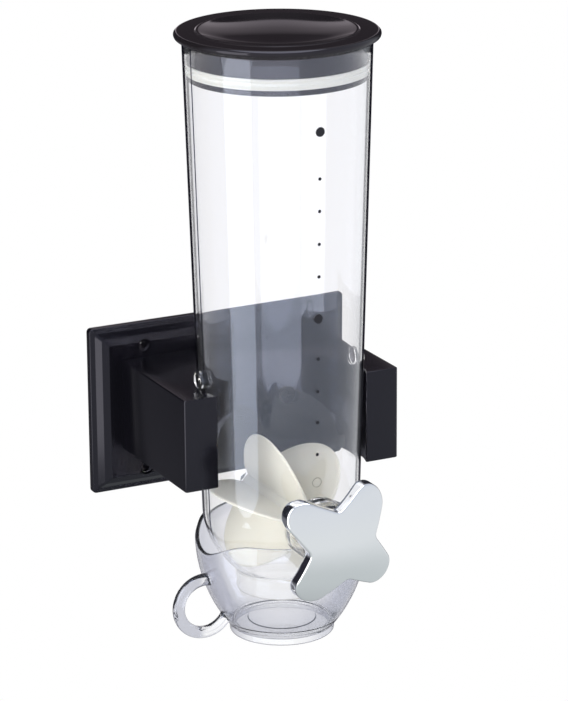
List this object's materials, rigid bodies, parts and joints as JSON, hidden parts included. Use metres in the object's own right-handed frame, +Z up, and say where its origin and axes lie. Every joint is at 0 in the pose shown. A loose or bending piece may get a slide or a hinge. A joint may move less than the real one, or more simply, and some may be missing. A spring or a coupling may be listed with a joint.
{
  "type": "wall mounted dry food dispenser",
  "caption": "Wall-mounted dry food dispenser: clear tapered canister in a black cradle, lid with gasket, paddle wheel turned by a chrome knob, and a pull-off catch cup.",
  "frame": {"origin": "centre of the wall plate's back face, on the wall", "axes": "+Y into the wall, -Y into the room, +X to the right of someone who faces the wall, +Z up"},
  "size_m": [0.191, 0.1834, 0.4],
  "materials": {
    "plate_black": "gloss black moulding",
    "cradle_black": "gloss black moulding",
    "screw_black": "black coated steel",
    "canister_clear": "clear polished plastic",
    "bush_grey": "natural acetal",
    "lid_black": "gloss black moulding",
    "gasket_white": "soft white silicone",
    "vane_ivory": "soft off-white elastomer",
    "core_grey": "plain moulding",
    "shaft_steel": "drawn bar",
    "clip_steel": "spring steel",
    "knob_core_grey": "plain moulding",
    "knob_screw_steel": "zinc plated",
    "knob_chrome": "bright plated plastic",
    "cup_clear": "clear polished plastic"
  },
  "bodies": {
    "bracket": {"wall_plate": "plate_black", "cradle": "cradle_black", "cradle_screws": "screw_black"},
    "canister": {"canister": "canister_clear", "front_bush": "bush_grey"},
    "lid": {"lid": "lid_black", "lid_gasket": "gasket_white"},
    "cup": {"catch_cup": "cup_clear"},
    "rotor": {"paddle_vanes": "vane_ivory", "wheel_core": "core_grey", "drive_shaft": "shaft_steel", "shaft_clip": "clip_steel", "knob_insert": "knob_core_grey", "knob_screw": "knob_screw_steel", "knob_shell": "knob_chrome"}
  },
  "joints": [
    {"name": "canister_lift", "type": "slide", "parent": "bracket", "child": "canister", "axis": [0, 0, 1], "range_m": [0, 0.034]},
    {"name": "lid_lift", "type": "slide", "parent": "canister", "child": "lid", "axis": [0, 0, 1], "range_m": [0, 0.06]},
    {"name": "cup_drop", "type": "slide", "parent": "canister", "child": "cup", "axis": [0, 0, -1], "range_m": [0, 0.06]},
    {"name": "knob_spin", "type": "hinge", "parent": "canister", "child": "rotor", "pos_m": [0, -0.0912, -0.0513], "axis": [0, -1, 0], "continuous": true}
  ]
}
